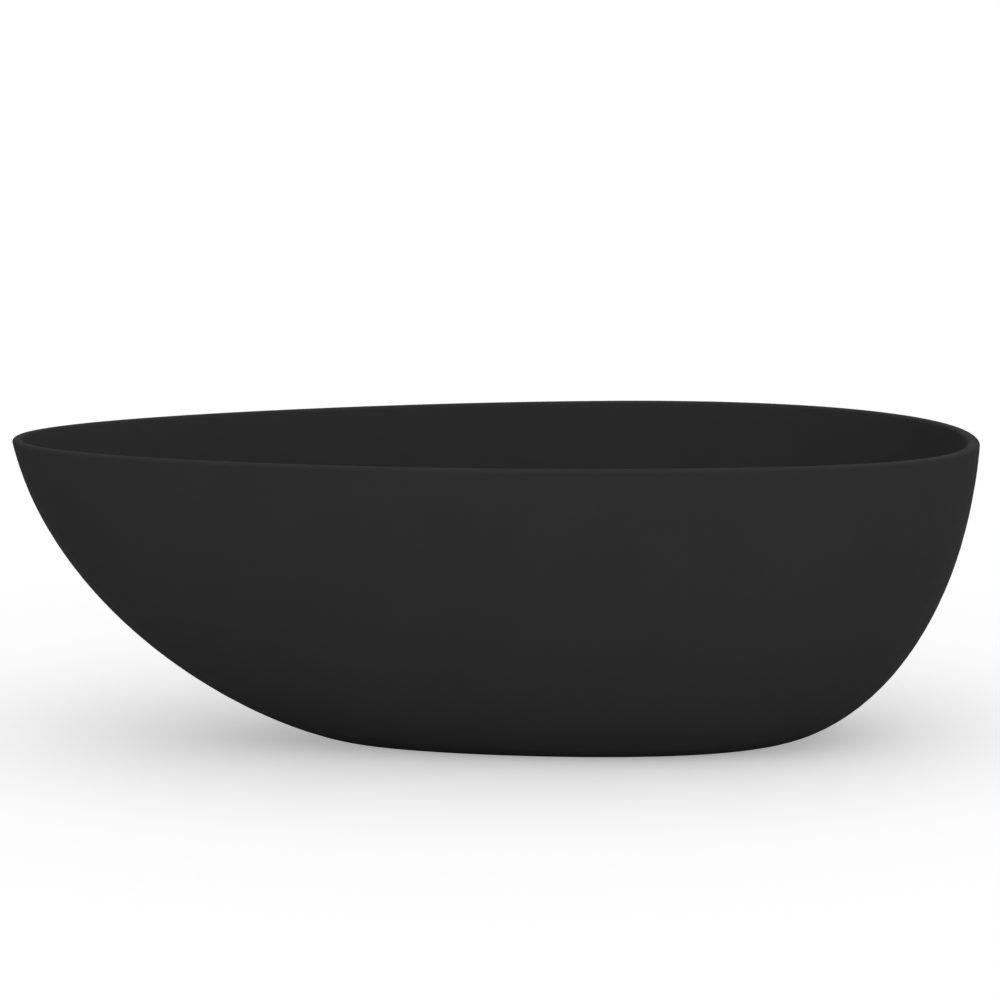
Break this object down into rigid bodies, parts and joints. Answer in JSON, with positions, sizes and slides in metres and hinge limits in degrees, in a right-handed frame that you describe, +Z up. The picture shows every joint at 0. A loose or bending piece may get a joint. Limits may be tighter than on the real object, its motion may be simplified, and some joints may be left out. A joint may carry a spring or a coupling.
{
  "type": "freestanding bathtub",
  "caption": "Freestanding matte black bathtub, egg-shaped in plan, with a thin rounded rim, a long sloping head end, click-clack waste, overflow, low trap and levelling feet.",
  "frame": {"origin": "on the floor, under the middle of the tub's plan", "axes": "+Z up; +X along the length, from the long sloping head end to the steeper foot end with the waste and overflow; +Y across"},
  "size_m": [1.7482, 0.8598, 0.56],
  "materials": {
    "matte_black_acrylic": "fine matte, smooth to the touch",
    "underfloor_board": "sealed plywood, satin",
    "frame_paint": "powder coat, satin black",
    "zinc_steel": "zinc plated, satin",
    "foot_plastic": "moulded nylon, matte",
    "matte_black_metal": "matte black plating",
    "brass": "turned brass",
    "spring_steel": "drawn wire",
    "black_rubber": "matte rubber",
    "white_plastic": "moulded white polypropylene",
    "hose_plastic": "flexible grey hose"
  },
  "bodies": {
    "tub": {"inner_basin": "matte_black_acrylic", "outer_shell": "matte_black_acrylic", "base_board": "underfloor_board", "frame_rail_front": "frame_paint", "frame_rail_back": "frame_paint", "cross_tube_head": "frame_paint", "cross_tube_middle": "frame_paint", "cross_tube_foot": "frame_paint", "rail_end_caps": "foot_plastic", "cross_tube_end_caps": "foot_plastic", "board_screws": "zinc_steel", "shell_brackets": "zinc_steel", "bracket_screws": "zinc_steel", "foot_weld_nuts": "zinc_steel", "foot_lock_nuts": "zinc_steel", "drain_flange": "matte_black_metal", "flange_seal": "black_rubber", "waste_gasket": "black_rubber", "waste_body": "white_plastic", "cartridge_body": "brass", "stopper_spring": "spring_steel", "overflow_body": "white_plastic", "overflow_gasket": "black_rubber", "overflow_cover": "matte_black_metal", "overflow_screw": "matte_black_metal", "overflow_hose": "hose_plastic", "hose_clips": "zinc_steel", "trap_washer": "black_rubber", "trap_nut": "white_plastic", "trap_lid": "white_plastic", "trap_seal": "black_rubber", "trap_cup": "white_plastic"},
    "stopper": {"stopper_cap": "matte_black_metal", "stopper_seal": "black_rubber", "stopper_stem": "brass"},
    "foot_pad_1": {"foot_pad_1": "foot_plastic"},
    "foot_stud_1": {"foot_stud_1": "zinc_steel"},
    "foot_pad_2": {"foot_pad_2": "foot_plastic"},
    "foot_stud_2": {"foot_stud_2": "zinc_steel"},
    "foot_pad_3": {"foot_pad_3": "foot_plastic"},
    "foot_stud_3": {"foot_stud_3": "zinc_steel"},
    "foot_pad_4": {"foot_pad_4": "foot_plastic"},
    "foot_stud_4": {"foot_stud_4": "zinc_steel"},
    "foot_pad_5": {"foot_pad_5": "foot_plastic"},
    "foot_stud_5": {"foot_stud_5": "zinc_steel"}
  },
  "joints": [
    {"name": "stopper_lift", "type": "slide", "parent": "tub", "child": "stopper", "axis": [0, 0, 1], "range_m": [0, 0.008], "deforming": ["stopper_spring"]},
    {"name": "foot_1_height", "type": "slide", "parent": "tub", "child": "foot_pad_1", "axis": [0, 0, 1], "range_m": [-0.008, 0.01]},
    {"name": "foot_1_screw", "type": "hinge", "parent": "foot_pad_1", "child": "foot_stud_1", "pos_m": [-0.13, -0.058, 0], "axis": [0, 0, 1], "range_deg": [-1660, 2070]},
    {"name": "foot_2_height", "type": "slide", "parent": "tub", "child": "foot_pad_2", "axis": [0, 0, 1], "range_m": [-0.008, 0.01]},
    {"name": "foot_2_screw", "type": "hinge", "parent": "foot_pad_2", "child": "foot_stud_2", "pos_m": [-0.13, 0.058, 0], "axis": [0, 0, 1], "range_deg": [-1660, 2070]},
    {"name": "foot_3_height", "type": "slide", "parent": "tub", "child": "foot_pad_3", "axis": [0, 0, 1], "range_m": [-0.008, 0.01]},
    {"name": "foot_3_screw", "type": "hinge", "parent": "foot_pad_3", "child": "foot_stud_3", "pos_m": [0.12, 0, 0], "axis": [0, 0, 1], "range_deg": [-1660, 2070]},
    {"name": "foot_4_height", "type": "slide", "parent": "tub", "child": "foot_pad_4", "axis": [0, 0, 1], "range_m": [-0.008, 0.01]},
    {"name": "foot_4_screw", "type": "hinge", "parent": "foot_pad_4", "child": "foot_stud_4", "pos_m": [0.425, -0.058, 0], "axis": [0, 0, 1], "range_deg": [-1660, 2070]},
    {"name": "foot_5_height", "type": "slide", "parent": "tub", "child": "foot_pad_5", "axis": [0, 0, 1], "range_m": [-0.008, 0.01]},
    {"name": "foot_5_screw", "type": "hinge", "parent": "foot_pad_5", "child": "foot_stud_5", "pos_m": [0.425, 0.058, 0], "axis": [0, 0, 1], "range_deg": [-1660, 2070]}
  ],
  "couplings": [
    {"joint": "foot_1_screw", "follows": "foot_1_height", "rad_per_m": 3590.4},
    {"joint": "foot_2_screw", "follows": "foot_2_height", "rad_per_m": 3590.4},
    {"joint": "foot_3_screw", "follows": "foot_3_height", "rad_per_m": 3590.4},
    {"joint": "foot_4_screw", "follows": "foot_4_height", "rad_per_m": 3590.4},
    {"joint": "foot_5_screw", "follows": "foot_5_height", "rad_per_m": 3590.4}
  ]
}
